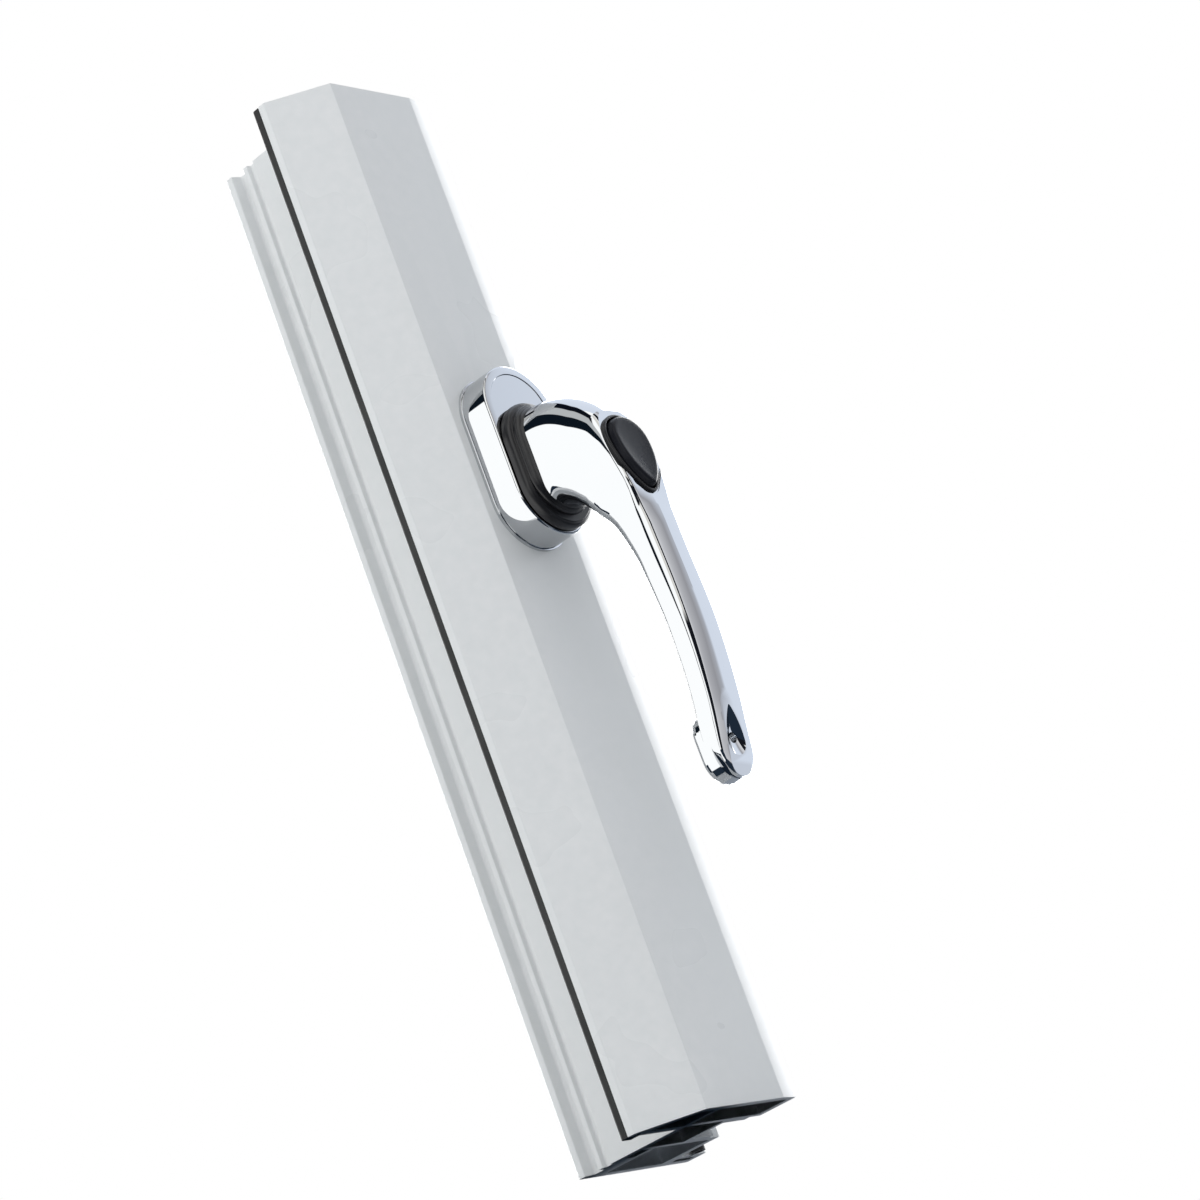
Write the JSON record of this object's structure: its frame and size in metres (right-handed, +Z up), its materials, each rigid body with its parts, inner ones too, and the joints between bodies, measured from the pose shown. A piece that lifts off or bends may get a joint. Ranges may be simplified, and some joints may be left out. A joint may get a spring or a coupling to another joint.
{
  "type": "casement window sash stile with lever handle",
  "caption": "Cut length of white casement sash stile with a chrome push-button lever handle that drives an espagnolette lock in its edge.",
  "frame": {"origin": "centre of the bounding box on the lower sawn end, which it stands on", "axes": "+Z up along the stile, -Y out of the room face towards the handle, +X towards the lock edge"},
  "size_m": [0.0694, 0.102, 0.33],
  "materials": {
    "white_pvc": "extruded white PVC-U, satin",
    "polished_chrome": "polished chrome plate",
    "black_plastic": "moulded black nylon, satin",
    "gloss_button": "moulded black, polished",
    "black_rubber": "extruded black seal",
    "zinc_steel": "zinc-plated steel",
    "bright_steel": "bright steel",
    "galvanised_steel": "galvanised rolled steel",
    "nylon": "natural nylon"
  },
  "bodies": {
    "sash": {"sash_profile": "white_pvc", "steel_reinforcement": "galvanised_steel", "reinforcement_screws": "zinc_steel", "glazing_gasket": "black_rubber", "weather_seal": "black_rubber", "faceplate": "zinc_steel", "faceplate_screws": "zinc_steel", "gearbox_case_room": "zinc_steel", "gearbox_case_outer": "zinc_steel", "gearbox_rivets": "bright_steel", "base_body": "polished_chrome", "screw_cover": "polished_chrome", "bearing_bush": "nylon", "wave_washer": "bright_steel", "fixing_screws": "zinc_steel"},
    "handle": {"lever": "polished_chrome", "collar_flange": "black_plastic", "collar_ring": "black_plastic", "spindle": "bright_steel", "spindle_grub_screw": "bright_steel", "button_housing": "black_plastic", "button_spring": "bright_steel", "retaining_ring": "bright_steel", "lock_latch": "bright_steel", "gear_pinion": "bright_steel"},
    "button": {"push_button": "gloss_button", "lock_plunger": "bright_steel"},
    "drive": {"drive_rack": "bright_steel", "drive_bar": "zinc_steel", "roller_pins": "bright_steel"},
    "upper_roller": {"roller_upper": "zinc_steel"},
    "lower_roller": {"roller_lower": "zinc_steel"}
  },
  "joints": [
    {"name": "lever_turn", "type": "hinge", "parent": "sash", "child": "handle", "pos_m": [-0.00125, -0.00498, 0.2], "axis": [0, 1, 0], "range_deg": [0, 90]},
    {"name": "button_press", "type": "slide", "parent": "handle", "child": "button", "axis": [0, 1, 0], "range_m": [0, 0.002], "stiffness_N_per_m": 1200, "springref_m": -0.003, "deforming": ["button_spring"]},
    {"name": "drive_slide", "type": "slide", "parent": "sash", "child": "drive", "axis": [0, 0, -1], "range_m": [0, 0.01801]},
    {"name": "upper_roller_spin", "type": "hinge", "parent": "drive", "child": "upper_roller", "pos_m": [0.02475, 0.01902, 0.278], "axis": [1, 0, 0], "continuous": true},
    {"name": "lower_roller_spin", "type": "hinge", "parent": "drive", "child": "lower_roller", "pos_m": [0.02475, 0.01902, 0.072], "axis": [1, 0, 0], "continuous": true}
  ],
  "couplings": [
    {"joint": "drive_slide", "follows": "lever_turn", "m_per_rad": 0.011459}
  ]
}
